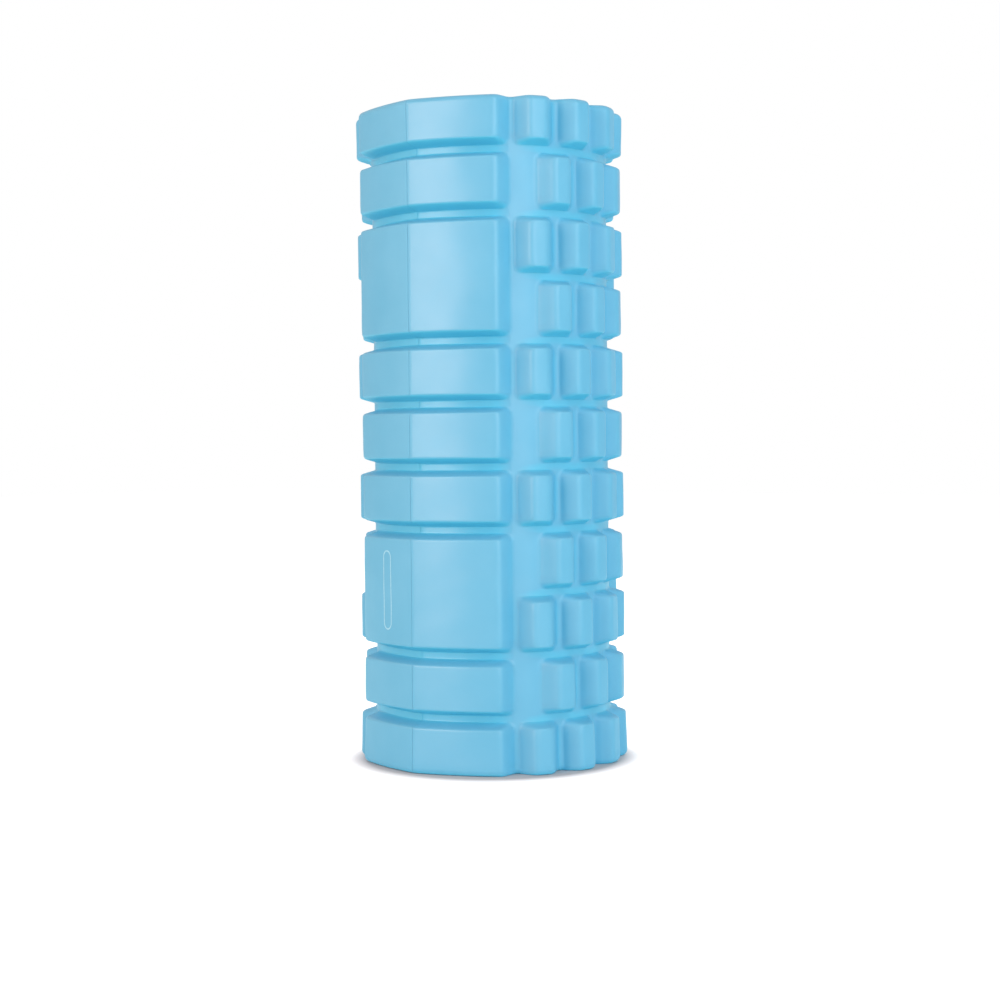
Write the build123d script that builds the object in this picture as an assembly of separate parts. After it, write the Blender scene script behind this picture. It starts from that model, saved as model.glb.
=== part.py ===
from build123d import *
import math
import os

# Foam roller: a hollow rigid tube with two moulded foam half-shells glued round it.
# Millimetres, +Z up along the roller's axis, origin at the centre of the lower end.
# The wide bands face -Y and +Y, the blocks face -X and +X, and the shells meet at x = 0.

# Overall size
length = 330.0
pad_r = 68.1  # outer faces of the bands and blocks
floor_r = 60.2  # floor of the grooves
shell_inner_r = 50.3

# Rigid core, and the adhesive that holds the shells to it and to each other
core_r = 50.0
core_wall = 3.5
core_recess = 1.0  # the tube ends this far inside the foam's ends
core_chamfer = 0.8
seam_gap = 0.3  # thickness of the adhesive between the two shells
seam_cover = 0.6  # foam surface over that adhesive

# Rows of pads along the axis
row_count = 11
pitch = 30.86
row_lift = 1.0  # the rows sit this much above the middle
pad_height = 22.3  # at the outer face
groove_width = 3.8  # at the floor
band_rows = ((1, 1), (2, 2), (3, 4), (5, 5), (6, 6), (7, 7), (8, 9), (10, 10), (11, 11))

# Pads round the axis, in degrees
band_face_end = 39.3  # from the middle of a band
band_foot_end = 45.3
block_pitch = 21.9
block_face_half = 3.8
block_foot_half = 9.6
long_row_blocks = 4  # odd rows; even rows have one block fewer, set half a pitch over

# Surfaces and edges
panel_dip = 2.0  # each half of a band is flatter than the circle by this much
shoulder_r = 1.2
rim_r = 3.2
root_r = 56.0  # pads are drawn down to here, inside the base layer

# Directions in plan: the middles of the two bands and of the block field between them
front, side, rear = 0, 90, 180

pad_depth = pad_r - floor_r
groove_slope = (pitch - groove_width - pad_height) / 2 / pad_depth


def polar(radius, angle):
    """Point in plan at an angle from -Y, turning towards +X."""
    turn = math.radians(angle)
    return (radius * math.sin(turn), -radius * math.cos(turn))


def wall_angle(foot, face, radius):
    """Angle of a pad's side wall at a radius, on the line from its foot to its face."""
    return foot + (face - foot) * (radius - floor_r) / pad_depth


def groove_z(row):
    """Height of the groove under a row, with the rows counted from the top."""
    return length / 2 + row_lift + pitch * (row_count / 2 - row)


def panel(radius, start, end):
    """Edge in plan of one flattened panel, from one angle to another."""
    middle = polar(radius - panel_dip, (start + end) / 2)
    return ThreePointArc(polar(radius, start), middle, polar(radius, end))


def half_band_plan(middle, turn):
    """Plan of half a band, from its middle to its end wall. turn is 1 or -1."""
    face = middle + turn * band_face_end
    root = middle + turn * wall_angle(band_foot_end, band_face_end, root_r)
    lines = [
        Line(polar(root_r, middle), polar(pad_r, middle)),
        panel(pad_r, middle, face),
        Line(polar(pad_r, face), polar(root_r, root)),
        Line(polar(root_r, root), polar(root_r, middle)),
    ]
    return make_face(lines)


def block_plan(middle):
    """Plan of one block, a trapezoid that narrows outwards."""
    top_r = pad_r + 2
    root = wall_angle(block_foot_half, block_face_half, root_r)
    top = wall_angle(block_foot_half, block_face_half, top_r)
    corners = Polyline(
        polar(root_r, middle - root),
        polar(root_r, middle + root),
        polar(top_r, middle + top),
        polar(top_r, middle - top),
        close=True,
    )
    return make_face(corners.edges())


def ring(first_row, last_row):
    """Full ring over some rows, with sloped groove walls and rounded shoulders."""
    inset = (pitch - pad_height) / 2
    spread = groove_slope * (pad_r - root_r)
    starts_at_top = first_row == 1
    ends_at_base = last_row == row_count
    high = length if starts_at_top else groove_z(first_row - 1) - inset
    low = 0 if ends_at_base else groove_z(last_row) + inset
    root_high = high if starts_at_top else high + spread
    root_low = low if ends_at_base else low - spread
    outline = Polyline((root_r, root_low), (pad_r, low), (pad_r, high), (root_r, root_high), close=True)
    section = make_face(outline.edges())
    for height, radius in (
        (high, rim_r if starts_at_top else shoulder_r),
        (low, rim_r if ends_at_base else shoulder_r),
    ):
        corner = section.vertices().sort_by_distance((pad_r, height))[0]
        section = fillet(corner, radius)
    return revolve(Plane.XZ * section, Axis.Z)


def base_layer():
    """Foam under the pads: the groove floors outside, the adhesive's bore inside."""
    front_panel = panel(floor_r, front, front + band_foot_end)
    rear_panel = panel(floor_r, rear, rear - band_foot_end)
    block_floor = ThreePointArc(front_panel @ 1, polar(floor_r, side), rear_panel @ 1)
    outline = [front_panel, block_floor, rear_panel, Line(rear_panel @ 0, front_panel @ 0)]
    layer = extrude(make_face(outline), amount=length)
    return layer - Cylinder(shell_inner_r, length, align=(Align.CENTER, Align.CENTER, Align.MIN))


def pads():
    """Every band half and block of one shell."""
    made = []
    bands = half_band_plan(front, 1) + half_band_plan(rear, -1)
    for first_row, last_row in band_rows:
        made.append(ring(first_row, last_row) & extrude(bands, amount=length))
    for row in range(1, row_count + 1):
        count = long_row_blocks if row % 2 else long_row_blocks - 1
        middles = [side + block_pitch * (i - (count - 1) / 2) for i in range(count)]
        blocks = Sketch() + [block_plan(middle) for middle in middles]
        made.append(ring(row, row) & extrude(blocks, amount=length))
    return made


def foam_shell():
    """The +X half-shell as one solid, with a flat seam face to the other."""
    whole = base_layer() + pads()
    half = Box(pad_r + 1, 3 * pad_r, length, align=(Align.MIN, Align.CENTER, Align.MIN))
    return whole & Pos(X=seam_gap / 2) * half


def tube(outer_r, inner_r, height):
    """Plain tube standing on z = 0."""
    on_base = (Align.CENTER, Align.CENTER, Align.MIN)
    return Cylinder(outer_r, height, align=on_base) - Cylinder(inner_r, height, align=on_base)


def core_tube():
    """Rigid tube, a little shorter than the foam, with its end edges broken."""
    pipe = tube(core_r, core_r - core_wall, length - 2 * core_recess)
    pipe = chamfer(pipe.edges().filter_by(GeomType.CIRCLE), core_chamfer)
    return Pos(Z=core_recess) * pipe


def seam_adhesive(turn):
    """Adhesive in one butt seam, under the floors and the bands. turn is 1 at -Y, -1 at +Y."""
    low_y = shell_inner_r
    floor_y = floor_r - seam_cover
    band_y = pad_r - seam_cover
    corner = (Align.CENTER, Align.MAX, Align.MIN)
    height = length - 2 * seam_cover
    strip = Pos(0, -low_y, seam_cover) * Box(seam_gap, floor_y - low_y, height, align=corner)
    inset = (pitch - pad_height) / 2
    for first_row, last_row in band_rows:
        high = length - rim_r if first_row == 1 else groove_z(first_row - 1) - inset
        low = rim_r if last_row == row_count else groove_z(last_row) + inset
        tab = Box(seam_gap, band_y - low_y, high - low - 2 * seam_cover, align=corner)
        strip += Pos(0, -low_y, low + seam_cover) * tab
    return strip if turn == 1 else Rot(Z=180) * strip


def build():
    """Every piece of the roller, by name."""
    shell = foam_shell()
    return {
        "core_tube": core_tube(),
        "core_adhesive": Pos(Z=core_recess) * tube(shell_inner_r, core_r, length - 2 * core_recess),
        "foam_shell_right": shell,
        "foam_shell_left": mirror(shell, Plane.YZ),
        "seam_adhesive_front": seam_adhesive(1),
        "seam_adhesive_rear": seam_adhesive(-1),
    }


os.makedirs("parts", exist_ok=True)
for name, piece in build().items():
    print(f"{name}: {piece.volume / 1000:.1f} cm3, {len(piece.solids())} solid")
    export_step(piece, f"parts/{name}.step")
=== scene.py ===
import math

import bpy
import numpy as np
from mathutils import Matrix, Vector


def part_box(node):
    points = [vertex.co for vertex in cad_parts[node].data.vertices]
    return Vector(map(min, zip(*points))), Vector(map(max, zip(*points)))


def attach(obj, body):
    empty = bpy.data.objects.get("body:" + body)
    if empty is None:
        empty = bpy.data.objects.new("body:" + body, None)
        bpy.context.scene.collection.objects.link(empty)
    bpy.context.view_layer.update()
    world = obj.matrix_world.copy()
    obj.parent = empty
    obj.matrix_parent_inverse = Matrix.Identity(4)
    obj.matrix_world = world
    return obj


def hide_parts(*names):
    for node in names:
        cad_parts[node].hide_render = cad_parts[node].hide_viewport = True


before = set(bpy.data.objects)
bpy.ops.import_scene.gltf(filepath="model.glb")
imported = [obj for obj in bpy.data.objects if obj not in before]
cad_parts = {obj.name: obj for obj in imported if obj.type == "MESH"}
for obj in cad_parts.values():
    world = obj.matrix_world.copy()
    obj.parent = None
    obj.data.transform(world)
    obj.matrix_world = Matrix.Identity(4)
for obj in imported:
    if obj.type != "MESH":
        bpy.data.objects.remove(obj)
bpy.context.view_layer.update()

# A foam roller that stands on its lower end. Lengths are in millimetres until a mesh is made.
# Angles are in degrees round the axis, from -Y towards +X, as in the CAD model: the bands are
# in the middle of -Y and +Y, and the blocks in the middle of -X and +X.
MM = 0.001
shell_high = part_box("foam_shell_right")[1]
LENGTH = shell_high.z / MM
PAD_R = shell_high.x / MM
BORE_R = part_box("core_adhesive")[1].x / MM

# Relief of the foam
PAD_DEPTH = 7.9
FLOOR_R = PAD_R - PAD_DEPTH
ROW_COUNT = 11
PITCH = 30.86
ROW_LIFT = 1.0  # the rows sit this much above the middle
GROOVE_WALL = 2.3  # width of a groove's sloped wall, seen from outside
GROOVE_FLOOR = 3.8
# First and last row of every band, counted from the top
BAND_ROWS = ((1, 1), (2, 2), (3, 4), (5, 5), (6, 6), (7, 7), (8, 9), (10, 10), (11, 11))
BAND_FOOT, BAND_FACE = 45.3, 39.3  # degrees from a pad's middle to the ends of foot and face
BLOCK_FOOT, BLOCK_FACE = 9.6, 3.8
BLOCK_PITCH = 21.9  # degrees
LONG_ROW_BLOCKS = 4  # odd rows; even rows have one block fewer
PANEL_DIP = 2.0  # each half of a band is flatter than the circle by this much
PAST_END = 40  # the pads of the first and last rows reach this far past the end

# Edges. A bend is two shares of a wall: how far it reaches on the flat and on the wall.
FOOT_BEND = (0.28, 0.12)
BAND_SHOULDER, BLOCK_SHOULDER = (0.36, 0.24), (0.32, 0.22)
CORNER_FOOT_R, CORNER_FACE_R = 3.8, 2.2  # the pads' corners, seen from outside
PAD_RIM, FLOOR_RIM = 3.2, 2.6  # round edges of the pads and the floors at both ends
RIDGE_DROP, RIDGE_HALF = 0.17, 2.0  # the ridge between the panels of a band is rounded over
SEAM_HALF, SEAM_EDGE = 0.05, 0.08  # half the seam's width, and its round edges
SHARP = math.radians(40)  # edges that turn by more than this are shaded sharp

# Slight deviations: the foam is a little wider towards its ends, and faintly wavy
TOP_SWELL, TOP_REACH = 0.35, 18
BASE_SWELL, BASE_REACH = 1.1, 26
WAVE_COUNT, WAVE_SIZE, WAVE_SEED = 14, 0.022, 7

# How far the measures of the grooves and gaps look
ENCLOSURE_REACH, GAP_REACH = 5.0, 9.0
ENCLOSURE_TURNS = (45, 90, 135, 225, 270, 315)  # above and below, straight and slanting
GAP_FADE = 4.0  # degrees

# Generic printed mark on the left shell: an outlined capsule
MARK_ANGLE, MARK_Z = 16.5, 89.5
MARK_TALL, MARK_WIDE, MARK_LINE, MARK_LIFT = 39.0, 6.5, 0.7, 0.05
MARK_ARC_POINTS, MARK_SIDE_POINTS = 25, 12

DEGREE = math.radians(1) * (PAD_R + FLOOR_R) / 2  # length of one degree, half way up a wall


# ---------------------------------------------------------------- relief of the foam shells

def groove_z(row):
    """Height of the groove under a row, with the rows counted from the top."""
    return LENGTH / 2 + ROW_LIFT + PITCH * (ROW_COUNT / 2 - row)


def bent(t, outer, inner):
    """0 up to -outer, t from inner on, and one smooth bend between them."""
    x = np.clip(t, -outer, inner)
    s = (np.sqrt(outer**2 + (inner - outer) * (outer + x)) - outer) / (inner - outer)
    return np.where(t > inner, t, inner * s * s)


def wall_height(level, shoulder):
    """Height of a pad's wall, 0 to 1: straight, with a fillet at its foot and a round shoulder."""
    return 1 - bent(1 - bent(level, *FOOT_BEND), *shoulder)


def pad_level(across, along, pad):
    """How far up its wall a point of a pad is: 0 at the foot, 1 where the face starts."""
    shrink = CORNER_FACE_R - CORNER_FOOT_R
    in_x = (pad["half_x"] - across) / pad["wall_x"]
    in_z = (pad["half_z"] - along) / pad["wall_z"]
    level = np.minimum(in_x, in_z)
    # In a corner every level is an arc, whose radius goes from the foot's to the face's
    p0, p1 = across - pad["half_x"] + CORNER_FOOT_R, pad["wall_x"] + shrink
    q0, q1 = along - pad["half_z"] + CORNER_FOOT_R, pad["wall_z"] + shrink
    a = p1**2 + q1**2 - shrink**2
    b = p0 * p1 + q0 * q1 - CORNER_FOOT_R * shrink
    c = p0**2 + q0**2 - CORNER_FOOT_R**2
    corner = (-b + np.sqrt(np.maximum(b * b - a * c, 0))) / a
    in_corner = (p0 + p1 * level > 0) & (q0 + q1 * level > 0)
    return np.where(in_corner, np.minimum(level, corner), level)


def row_span(first, last):
    """Low and high foot of the pads from one row to another; past an end where they reach it."""
    high = LENGTH + PAST_END if first == 1 else groove_z(first - 1) - GROOVE_FLOOR / 2
    low = -PAST_END if last == ROW_COUNT else groove_z(last) + GROOVE_FLOOR / 2
    return low, high


def make_pad(middle, foot, face, shoulder, first, last):
    """One pad: where it is, half its foot's sides, how wide its walls are and how they end."""
    low, high = row_span(first, last)
    return {
        "angle": middle,
        "z": (low + high) / 2,
        "half_x": foot * DEGREE,
        "wall_x": (foot - face) * DEGREE,
        "half_z": (high - low) / 2,
        "wall_z": GROOVE_WALL,
        "shoulder": shoulder,
    }


def block_angles(row):
    """Middles of the blocks of a row, on the +X side."""
    count = LONG_ROW_BLOCKS - (row + 1) % 2
    return [90 + BLOCK_PITCH * (i - (count - 1) / 2) for i in range(count)]


def all_pads():
    """Every pad of the +X half: its halves of the bands, and its blocks."""
    pads = []
    for first, last in BAND_ROWS:
        for middle in (0, 180):
            pads.append(make_pad(middle, BAND_FOOT, BAND_FACE, BAND_SHOULDER, first, last))
    for row in range(1, ROW_COUNT + 1):
        for middle in block_angles(row):
            pads.append(make_pad(middle, BLOCK_FOOT, BLOCK_FACE, BLOCK_SHOULDER, row, row))
    return pads


def panel_radius(angle, radius, half):
    """Radius of a flattened panel of a band that starts at angle 0 and is 2 * half wide."""
    chord = radius * math.sin(math.radians(half))
    rise = radius - PANEL_DIP - radius * math.cos(math.radians(half))
    curve = (chord**2 + rise**2) / (2 * rise)
    centre = radius - PANEL_DIP - curve
    turn = np.radians(angle - half)
    r = centre * np.cos(turn) + np.sqrt(curve**2 - (centre * np.sin(turn)) ** 2)
    return np.minimum(r, radius)


def edge_drop(distance, radius):
    """How far a round edge lies under its face, at a distance from the end of the face."""
    inside = np.clip(radius - distance, 0, radius)
    return radius - np.sqrt(radius**2 - inside**2)


def end_swell(z):
    """How far the foam bulges at a height, towards either end."""
    return TOP_SWELL * np.exp((z - LENGTH) / TOP_REACH) + BASE_SWELL * np.exp(-z / BASE_REACH)


def unevenness(angle, z):
    """Slight waves of moulded foam, the same each run."""
    rng = np.random.default_rng(WAVE_SEED)
    total = np.zeros(np.broadcast(angle, z).shape)
    # Each wave has 2 to 15 crests round the roller, and at most one in 9 mm along it
    for _ in range(WAVE_COUNT):
        turns, rises = rng.integers(2, 16), rng.uniform(-1, 1) / rng.uniform(9, 40)
        phase = rng.uniform(0, 2 * math.pi)
        total += np.sin(np.radians(angle) * turns + 2 * math.pi * rises * z + phase)
    return WAVE_SIZE * total


def relief(angle, z):
    """Height of the surface between the groove floors, 0, and the pads' faces, 1."""
    share = np.zeros(np.broadcast(angle, z).shape)
    for pad in all_pads():
        across = np.abs(angle - pad["angle"]) * DEGREE
        along = np.abs(z - pad["z"])
        share = np.maximum(share, wall_height(pad_level(across, along, pad), pad["shoulder"]))
    return share


def enclosure(angle, z):
    """How far the foam just above and below a point stands over it, on average."""
    own = relief(angle, z)
    total = np.zeros(own.shape)
    for turn in np.radians(ENCLOSURE_TURNS):
        beside = angle + ENCLOSURE_REACH * math.cos(turn) / DEGREE
        above = z + ENCLOSURE_REACH * math.sin(turn)
        total += np.clip(relief(beside, above) - own, 0, 1) / len(ENCLOSURE_TURNS)
    return total


def wall(angle, z):
    """1 half way up the walls of the pads, and 0 on the faces and floors."""
    own = relief(angle, z)
    return 4 * own * (1 - own)


def gap_wall(angle, z):
    """1 half way up the walls of the narrow gaps between blocks, and 0 away from them."""
    left, right = (relief(angle + turn * GAP_REACH / DEGREE, z) for turn in (-1, 1))
    from_band = np.minimum(angle, 180 - angle) - BAND_FOOT
    away = np.clip((from_band - BLOCK_PITCH / 2) / GAP_FADE, 0, 1)
    return wall(angle, z) * np.clip(2 * np.minimum(left, right) - 1, 0, 1) * away


def foam_radius(angle, z):
    """Radius of the foam's surface, for a column of angles and a row of heights."""
    off_band = np.minimum(angle, 180 - angle)
    share = relief(angle, z)
    face = panel_radius(off_band, PAD_R, BAND_FACE / 2)
    floor = panel_radius(off_band, FLOOR_R, BAND_FOOT / 2)
    radius = floor + (face - floor) * share + unevenness(angle, z) + end_swell(z)
    rim = FLOOR_RIM + (PAD_RIM - FLOOR_RIM) * share
    radius -= edge_drop(np.minimum(z, LENGTH - z), rim)
    from_seam = np.maximum(np.radians(off_band) * PAD_R - SEAM_HALF, 0)
    radius -= RIDGE_DROP * np.clip(1 - from_seam / RIDGE_HALF, 0, 1) ** 2
    return radius - edge_drop(from_seam, SEAM_EDGE)


# ---------------------------------------------------------------- grid lines

# Lines across a wall, from its foot at 0 to the face at 1, and across its bends
WALL_STEPS = (-0.45, -0.28, -0.14, -0.05, 0.05, 0.14,
              0.5, 0.76, 0.85, 0.93, 1, 1.09, 1.2, 1.33, 1.55)
SEAM_STEPS = (0, 0.03, 0.07, 0.12, 0.4, 0.8, 1.2, 1.7)  # degrees
SEAM_ZONE, SEAM_GAP = 0.3, 0.035  # degrees: lines this near the seam may be this close together
COLUMN_GAP, COLUMN_STEP = 0.22, 1.6  # degrees: closest and widest spacing of the other lines
RING_GAP, RING_STEP = 0.02, 3.5  # closest and widest spacing of the rings


def thinned(values, gap):
    """Sorted values with none closer than gap to the one before, keeping both ends."""
    kept = [min(values)]
    for v in sorted(values):
        if v - kept[-1] >= gap:
            kept.append(v)
    kept[-1] = max(values)
    return kept


def filled(values, step):
    """values with evenly spaced ones put into every gap that is wider than step."""
    out = [values[0]]
    for a, b in zip(values, values[1:]):
        out.extend(np.linspace(a, b, max(1, math.ceil((b - a) / step)) + 1)[1:])
    return np.array(out)


def angle_lines():
    """Angles of the grid lines along the roller: close together on the walls of the pads."""
    walls = [(side, turn, BAND_FOOT, BAND_FACE) for side, turn in ((0, 1), (180, -1))]
    for row in (1, 2):
        for middle in block_angles(row):
            walls += [(middle, turn, BLOCK_FOOT, BLOCK_FACE) for turn in (1, -1)]
    start = math.degrees(SEAM_HALF / PAD_R)
    edge = [start + x for x in SEAM_STEPS]
    lines = edge + [180 - x for x in edge]
    for middle, turn, foot, face in walls:
        lines += [middle + turn * (foot - (foot - face) * t) for t in WALL_STEPS]
    low, high = SEAM_ZONE, 180 - SEAM_ZONE
    front = thinned([x for x in lines if x <= low], SEAM_GAP)
    between = thinned([x for x in lines if low < x < high], COLUMN_GAP)
    rear = thinned([x for x in lines if x >= high], SEAM_GAP)
    return filled(front + between + rear, COLUMN_STEP)


def height_lines():
    """Heights of the grid rings: close together on the groove walls and at the two rims."""
    rim = [PAD_RIM * (1 - math.cos(math.radians(a))) for a in range(0, 91, 9)]
    lines = rim + [LENGTH - x for x in rim]
    foot = GROOVE_FLOOR / 2
    for row in range(1, ROW_COUNT):
        for turn in (1, -1):
            lines += [groove_z(row) + turn * (foot + GROOVE_WALL * t) for t in WALL_STEPS]
    return filled(thinned(lines, RING_GAP), RING_STEP)


# ---------------------------------------------------------------- meshes

def new_mesh(name, points, faces, material):
    """Smooth-shaded mesh object from points in millimetres."""
    mesh = bpy.data.meshes.new(name)
    mesh.from_pydata((np.asarray(points, float) * MM).tolist(), [], faces)
    mesh.materials.append(material)
    mesh.polygons.foreach_set("use_smooth", [True] * len(mesh.polygons))
    mesh.update()
    piece = bpy.data.objects.new(name, mesh)
    bpy.context.scene.collection.objects.link(piece)
    return piece


def grid_faces(columns, rows, start=0, flip=False):
    """Faces of a grid whose points are stored column by column."""
    faces = []
    for i in range(columns - 1):
        for j in range(rows - 1):
            a = start + i * rows + j
            quad = (a, a + rows, a + rows + 1, a + 1)
            faces.append(quad[::-1] if flip else quad)
    return faces


def foam_shell(name, side, material):
    """Closed mesh of one half-shell, with its measures stored. side is 1 at +X, -1 at -X."""
    angles, heights = angle_lines(), height_lines()
    angle, z = angles[:, None], heights[None, :]
    radius = foam_radius(angle, z)
    turn = np.radians(angle)
    x = radius * np.sin(turn)
    y = -radius * np.cos(turn)
    x[0, :] = x[-1, :] = SEAM_HALF
    outer = np.stack([side * x, y, np.broadcast_to(z, x.shape)], -1).reshape(-1, 3)
    bore_x = np.maximum(BORE_R * np.sin(turn[:, 0]), SEAM_HALF)
    bore_y = -BORE_R * np.cos(turn[:, 0])
    bore = [(side * bx, by, bz) for bx, by in zip(bore_x, bore_y) for bz in (0, LENGTH)]
    columns, rows = x.shape
    first_bore = columns * rows
    faces = grid_faces(columns, rows) + grid_faces(columns, 2, first_bore, flip=True)
    # The lower and the upper end
    for i in range(columns - 1):
        a, b = i * rows, first_bore + 2 * i
        faces.append((a, b, b + 2, a + rows))
        faces.append((a + rows - 1, a + 2 * rows - 1, b + 3, b + 1))
    # The two faces at the seams
    last = (columns - 1) * rows
    last_bore = first_bore + 2 * (columns - 1)
    faces.append((*range(rows), first_bore + 1, first_bore))
    faces.append((*reversed(range(last, last + rows)), last_bore, last_bore + 1))
    if side < 0:
        faces = [face[::-1] for face in faces]
    piece = new_mesh(name, np.vstack([outer, bore]), faces, material)
    piece.data.set_sharp_from_angle(angle=SHARP)
    # enclosed and gap_wall place the painted shade in the foam's colour; wall makes the walls
    # rougher
    for label, measure in (("enclosed", enclosure), ("wall", wall), ("gap_wall", gap_wall)):
        values = np.append(measure(angle, z).ravel(), np.zeros(len(bore)))
        piece.data.attributes.new(label, "FLOAT", "POINT").data.foreach_set("value", values)
    return piece


def printed_mark(name, material):
    """Closed thin ring on the left shell: the printed outline of an upright capsule."""
    end = MARK_TALL / 2 - MARK_WIDE / 2
    arc = np.linspace(0, math.pi, MARK_ARC_POINTS)
    rise = np.linspace(-end, end, MARK_SIDE_POINTS + 2)[1:-1]
    high, straight = np.full(len(arc), end), np.zeros(len(rise))
    turn = np.concatenate([arc, straight + math.pi, arc + math.pi, straight])
    shift = np.concatenate([high, -rise, -high, rise])
    rings = []
    for offset, lift in ((1, -1), (1, 1), (-1, 1), (-1, -1)):
        reach = MARK_WIDE / 2 + offset * MARK_LINE / 2
        angle = MARK_ANGLE + np.degrees(reach * np.cos(turn) / PAD_R)
        z = MARK_Z + shift + reach * np.sin(turn)
        radius = foam_radius(angle, z) + lift * MARK_LIFT
        x, y = -radius * np.sin(np.radians(angle)), -radius * np.cos(np.radians(angle))
        rings.append(np.stack([x, y, z], -1))
    points = np.stack(rings, 1).reshape(-1, 3)
    count, sides = len(points), len(rings)
    faces = []
    for i in range(0, count, sides):
        for k in range(sides):
            a, b = i + k, i + (k + 1) % sides
            faces.append((a, b, (b + sides) % count, (a + sides) % count))
    mark = new_mesh(name, points, faces, material)
    mark.data.set_sharp_from_angle(angle=SHARP)
    return mark


# ---------------------------------------------------------------- materials

FOAM_DARK, FOAM_LIGHT = (0.135, 0.450, 0.650), (0.155, 0.470, 0.670)
# Painted shade: deeper, more saturated blues that stand in for the shade and blue bounce light in
# narrow grooves and on the walls that face down
GROOVE_SHADE_DARK, GROOVE_SHADE_LIGHT = (0.106, 0.560, 0.760), (0.118, 0.580, 0.780)
# Painted shade: a darker, deeper blue for the walls of the narrow gaps between blocks, where the
# block beside them shades them
GAP_SHADE_DARK, GAP_SHADE_LIGHT = (0.020, 0.370, 0.600), (0.030, 0.390, 0.620)
FOAM_ROUGH, WALL_ROUGH = 0.31, 0.60


def new_material(name):
    """Node material: its tree's nodes and links, and its Principled shader."""
    material = bpy.data.materials.new(name)
    material.use_nodes = True
    tree = material.node_tree
    return material, tree, tree.nodes["Principled BSDF"]


def noise(tree, scale, detail):
    """Noise in the object's own coordinates. scale is in waves per metre."""
    place = tree.nodes.new("ShaderNodeTexCoord")
    node = tree.nodes.new("ShaderNodeTexNoise")
    tree.links.new(place.outputs["Object"], node.inputs["Vector"])
    node.inputs["Scale"].default_value = scale
    node.inputs["Detail"].default_value = detail
    return node.outputs["Fac"]


def ranged(tree, value, low, high, first=0.3, last=0.7):
    """value spread from first to last, where noise mostly lies, to low to high."""
    node = tree.nodes.new("ShaderNodeMapRange")
    tree.links.new(value, node.inputs["Value"])
    node.inputs["From Min"].default_value = first
    node.inputs["From Max"].default_value = last
    node.inputs["To Min"].default_value = low
    node.inputs["To Max"].default_value = high
    return node.outputs["Result"]


def combined(tree, operation, first, second):
    """Two values combined by a Math node's operation."""
    node = tree.nodes.new("ShaderNodeMath")
    node.operation = operation
    tree.links.new(first, node.inputs[0])
    tree.links.new(second, node.inputs[1])
    return node.outputs["Value"]


def two_tone(tree, value, dark, light):
    """Colour between dark and light by value."""
    node = tree.nodes.new("ShaderNodeMix")
    node.data_type = "RGBA"
    tree.links.new(value, node.inputs["Factor"])
    node.inputs["A"].default_value = (*dark, 1)
    node.inputs["B"].default_value = (*light, 1)
    return node.outputs["Result"]


def bumped(tree, shader, value, distance, strength, below=None):
    """Adds a bump to a shader. distance is in metres."""
    node = tree.nodes.new("ShaderNodeBump")
    node.inputs["Strength"].default_value = strength
    node.inputs["Distance"].default_value = distance
    tree.links.new(value, node.inputs["Height"])
    if below is not None:
        tree.links.new(below, node.inputs["Normal"])
    tree.links.new(node.outputs["Normal"], shader.inputs["Normal"])
    return node.outputs["Normal"]


def stored(tree, label):
    """Value that the mesh carries at each point."""
    node = tree.nodes.new("ShaderNodeAttribute")
    node.attribute_name = label
    return node.outputs["Fac"]


def mixed(tree, value, first, second):
    """Colour between two others by value."""
    node = tree.nodes.new("ShaderNodeMix")
    node.data_type = "RGBA"
    tree.links.new(value, node.inputs["Factor"])
    tree.links.new(first, node.inputs["A"])
    tree.links.new(second, node.inputs["B"])
    return node.outputs["Result"]


def unshaded_share(tree):
    """Where the painted shade goes: 1 on open foam, and 0 in narrow grooves and on the walls that
    face down.
    """
    surface = tree.nodes.new("ShaderNodeNewGeometry")
    parts = tree.nodes.new("ShaderNodeSeparateXYZ")
    tree.links.new(surface.outputs["Normal"], parts.inputs["Vector"])
    not_down = ranged(tree, parts.outputs["Z"], 0, 1, -0.92, -0.30)
    not_enclosed = ranged(tree, stored(tree, "enclosed"), 1, 0, 0.13, 0.66)
    return combined(tree, "MINIMUM", not_down, not_enclosed)


def foam_material():
    """Moulded EVA foam: sky blue with a satin skin, and rougher on the walls. Painted shade: a
    deeper, more saturated blue stands in for the shade and blue bounce light in narrow grooves, on
    the walls that face down and on the walls of the narrow gaps between blocks.
    """
    material, tree, shader = new_material("eva_foam")
    patches = ranged(tree, noise(tree, 45, 3), 0, 1)
    skin = two_tone(tree, patches, FOAM_DARK, FOAM_LIGHT)
    groove_shade = two_tone(tree, patches, GROOVE_SHADE_DARK, GROOVE_SHADE_LIGHT)
    gap = two_tone(tree, patches, GAP_SHADE_DARK, GAP_SHADE_LIGHT)
    # painted shade in the narrow grooves and on the walls under the pads
    foam_colour = mixed(tree, unshaded_share(tree), groove_shade, skin)
    # painted shade on the walls of the narrow gaps between blocks
    foam_colour = mixed(tree, stored(tree, "gap_wall"), foam_colour, gap)
    tree.links.new(foam_colour, shader.inputs["Base Color"])
    skin_rough = ranged(tree, noise(tree, 160, 3), FOAM_ROUGH - 0.03, FOAM_ROUGH + 0.03)
    wall_extra = ranged(tree, stored(tree, "wall"), 0, WALL_ROUGH - FOAM_ROUGH, 0, 1)
    roughness = combined(tree, "ADD", skin_rough, wall_extra)
    tree.links.new(roughness, shader.inputs["Roughness"])
    shader.inputs["IOR"].default_value = 1.5
    shader.inputs["Specular IOR Level"].default_value = 0.85
    grain = bumped(tree, shader, noise(tree, 1900, 2), 0.00002, 0.5)
    bumped(tree, shader, noise(tree, 350, 3), 0.00008, 0.35, grain)
    return material


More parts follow.
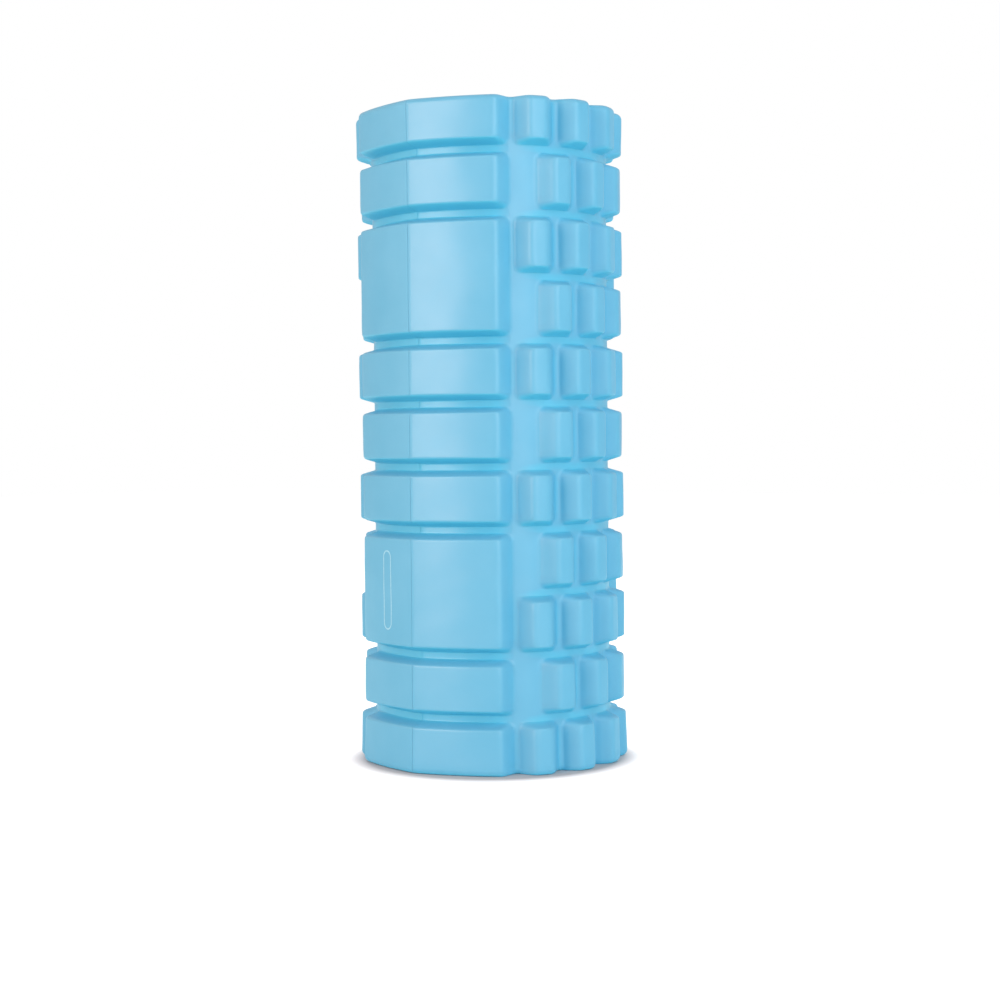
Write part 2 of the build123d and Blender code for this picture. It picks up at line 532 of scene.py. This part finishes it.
def ink_material():
    """Pale grey-blue printing ink, worn a little thin in places."""
    material, tree, shader = new_material("print_ink")
    wear = ranged(tree, noise(tree, 700, 3), 0, 1)
    colour = two_tone(tree, wear, (0.34, 0.62, 0.76), (0.46, 0.71, 0.83))
    tree.links.new(colour, shader.inputs["Base Color"])
    tree.links.new(ranged(tree, noise(tree, 300, 2), 0.35, 0.5), shader.inputs["Roughness"])
    bumped(tree, shader, noise(tree, 1500, 2), 0.00002, 0.4)
    return material


def core_material():
    """Extruded black ABS, satin and faintly grained."""
    material, tree, shader = new_material("core_abs")
    patches = ranged(tree, noise(tree, 60, 4), 0, 1)
    colour = two_tone(tree, patches, (0.018, 0.018, 0.02), (0.03, 0.03, 0.033))
    tree.links.new(colour, shader.inputs["Base Color"])
    tree.links.new(ranged(tree, noise(tree, 300, 3), 0.36, 0.46), shader.inputs["Roughness"])
    bumped(tree, shader, noise(tree, 1500, 2), 0.00005, 0.4)
    return material


def adhesive_material():
    """Dried contact adhesive, yellowish and slightly uneven."""
    material, tree, shader = new_material("adhesive")
    thickness = ranged(tree, noise(tree, 200, 3), 0, 1)
    colour = two_tone(tree, thickness, (0.42, 0.36, 0.24), (0.58, 0.52, 0.38))
    tree.links.new(colour, shader.inputs["Base Color"])
    tree.links.new(ranged(tree, noise(tree, 500, 2), 0.45, 0.65), shader.inputs["Roughness"])
    bumped(tree, shader, noise(tree, 900, 3), 0.0001, 0.6)
    return material


def floor_material():
    """Matt floor with a painted contact shadow. To the camera it glows white except in a disc
    round the roller, so the disc shows as a shadow: partly real shade on the darker floor colour,
    and partly painted by where the glow starts."""
    material, tree, shader = new_material("floor_white")
    seen = tree.nodes.new("ShaderNodeLightPath").outputs["Is Camera Ray"]
    tree.links.new(two_tone(tree, seen, FLOOR_BOUNCE, FLOOR_SEEN), shader.inputs["Base Color"])
    shader.inputs["Roughness"].default_value = 0.9
    shader.inputs["Specular IOR Level"].default_value = 0.0
    shader.inputs["Emission Color"].default_value = (1, 1, 1, 1)
    place = tree.nodes.new("ShaderNodeTexCoord")
    distance = tree.nodes.new("ShaderNodeVectorMath")
    distance.operation = "DISTANCE"
    tree.links.new(place.outputs["Object"], distance.inputs[0])
    distance.inputs[1].default_value = around(SHADOW_SHIFT, 0, 0)
    start, full = GLOW_START * MM, GLOW_FULL * MM
    glow = ranged(tree, distance.outputs["Value"], 0, FLOOR_GLOW, start, full)
    tree.links.new(combined(tree, "MULTIPLY", seen, glow), shader.inputs["Emission Strength"])
    return material


# ---------------------------------------------------------------- camera, lights and floor

VIEW_AZIMUTH = 36.0  # the camera's direction round the axis, from the middle of a band
SHADOW_SHIFT = 6.0  # the painted contact shadow, the disc where the floor does not glow, lies this far towards the camera
CAMERA_DISTANCE, CAMERA_HEIGHT = 975.4, 164.3
CAMERA_YAW, CAMERA_PITCH, CAMERA_ROLL = 0.004267, -0.0326155, -0.0096009  # radians
CAMERA_LENS, CAMERA_SENSOR = 67.69, 36

FLOOR_HALF = 4000
FLOOR_SEEN, FLOOR_BOUNCE = (0.60, 0.53, 0.53), (0.70, 0.89, 0.93)  # to the camera, under the glow, setting the painted contact shadow's colour; and to the roller
# Camera-only glow that paints the floor white except near the roller, which leaves a painted
# contact shadow
FLOOR_GLOW = 0.75
GLOW_START, GLOW_FULL = PAD_R - 2, PAD_R + 8  # distances from the middle of the painted shadow
WORLD_LIGHT, WORLD_SEEN = 0.50, 1.0

LAMP_DISTANCE = 1600
# Name, azimuth, elevation, width, height, power, colour, and whether reflections show it
LAMPS = (
    ("rear_left", -145, 25, 1100, 1700, 7, (1, 1, 1), False),
    ("rear_right", 145, 25, 1100, 1700, 7, (1, 1, 1), False),
    ("left_fill", -86, 20, 1000, 1700, 3.6, (0.92, 1, 1.02), True),
    ("key", -43, 12.5, 760, 1320, 11.1, (1, 0.77, 0.67), True),
    ("fill", 24, 20, 1000, 1600, 6.6, (1, 0.96, 0.97), True),
    ("side_fill", 55, 20, 1100, 1700, 9.4, (0.62, 1, 1.08), False),
)


def around(radius, azimuth, z):
    """Point in metres at an azimuth from the camera's direction, towards its right."""
    turn = math.radians(VIEW_AZIMUTH + azimuth)
    return Vector((radius * math.sin(turn), -radius * math.cos(turn), z)) * MM


def make_camera():
    """Camera at mid height, turned a little from the roller's axis."""
    data = bpy.data.cameras.new("camera")
    data.sensor_width = CAMERA_SENSOR
    data.lens = CAMERA_LENS
    camera = bpy.data.objects.new("camera", data)
    bpy.context.scene.collection.objects.link(camera)
    camera.location = around(CAMERA_DISTANCE, 0, CAMERA_HEIGHT)
    heading = Matrix.Rotation(math.radians(VIEW_AZIMUTH) - CAMERA_YAW, 4, "Z")
    upright = Matrix.Rotation(math.pi / 2 + CAMERA_PITCH, 4, "X")
    roll = Matrix.Rotation(CAMERA_ROLL, 4, "Z")
    camera.rotation_euler = (heading @ upright @ roll).to_euler()
    bpy.context.scene.camera = camera


def softbox(name, azimuth, elevation, wide, high, power, colour, reflected):
    """Rectangular area light that faces the roller's middle. Sizes are in millimetres."""
    data = bpy.data.lights.new(name, "AREA")
    data.shape = "RECTANGLE"
    data.size, data.size_y = wide * MM, high * MM
    data.energy = power
    data.color = colour
    lamp = bpy.data.objects.new(name, data)
    lamp.visible_glossy = reflected
    bpy.context.scene.collection.objects.link(lamp)
    rise = math.radians(elevation)
    reach, lift = LAMP_DISTANCE * math.cos(rise), LAMP_DISTANCE * math.sin(rise)
    lamp.location = around(reach, azimuth, LENGTH / 2 + lift)
    away = lamp.location - Vector((0, 0, LENGTH / 2 * MM))
    lamp.rotation_euler = away.to_track_quat("Z", "Y").to_euler()


def make_floor():
    """Wide white floor that the roller stands on."""
    corners = ((-1, -1), (1, -1), (1, 1), (-1, 1))
    points = [(x * FLOOR_HALF, y * FLOOR_HALF, 0) for x, y in corners]
    floor = new_mesh("floor", points, [(0, 1, 2, 3)], floor_material())


def make_world():
    """Even white surroundings, brighter to the camera than to the roller."""
    world = bpy.data.worlds.new("surroundings")
    world.use_nodes = True
    tree = world.node_tree
    light = tree.nodes["Background"]
    seen = tree.nodes.new("ShaderNodeLightPath").outputs["Is Camera Ray"]
    tree.links.new(ranged(tree, seen, WORLD_LIGHT, WORLD_SEEN, 0, 1), light.inputs["Strength"])
    light.inputs["Color"].default_value = (1, 1, 1, 1)
    bpy.context.scene.world = world


# ---------------------------------------------------------------- the roller

foam = foam_material()
for side, side_name in ((1, "right"), (-1, "left")):
    shell = foam_shell(f"foam_{side_name}", side, foam)
    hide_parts(f"foam_shell_{side_name}")
    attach(shell, "root")

mark = printed_mark("printed_mark", ink_material())
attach(mark, "root")

adhesive = adhesive_material()
for node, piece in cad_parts.items():
    if node == "core_tube":
        piece.data.materials[0] = core_material()
    elif "adhesive" in node:
        piece.data.materials[0] = adhesive

make_camera()
make_floor()
make_world()
for settings in LAMPS:
    softbox(*settings)
bpy.context.scene.view_settings.view_transform = "Standard"
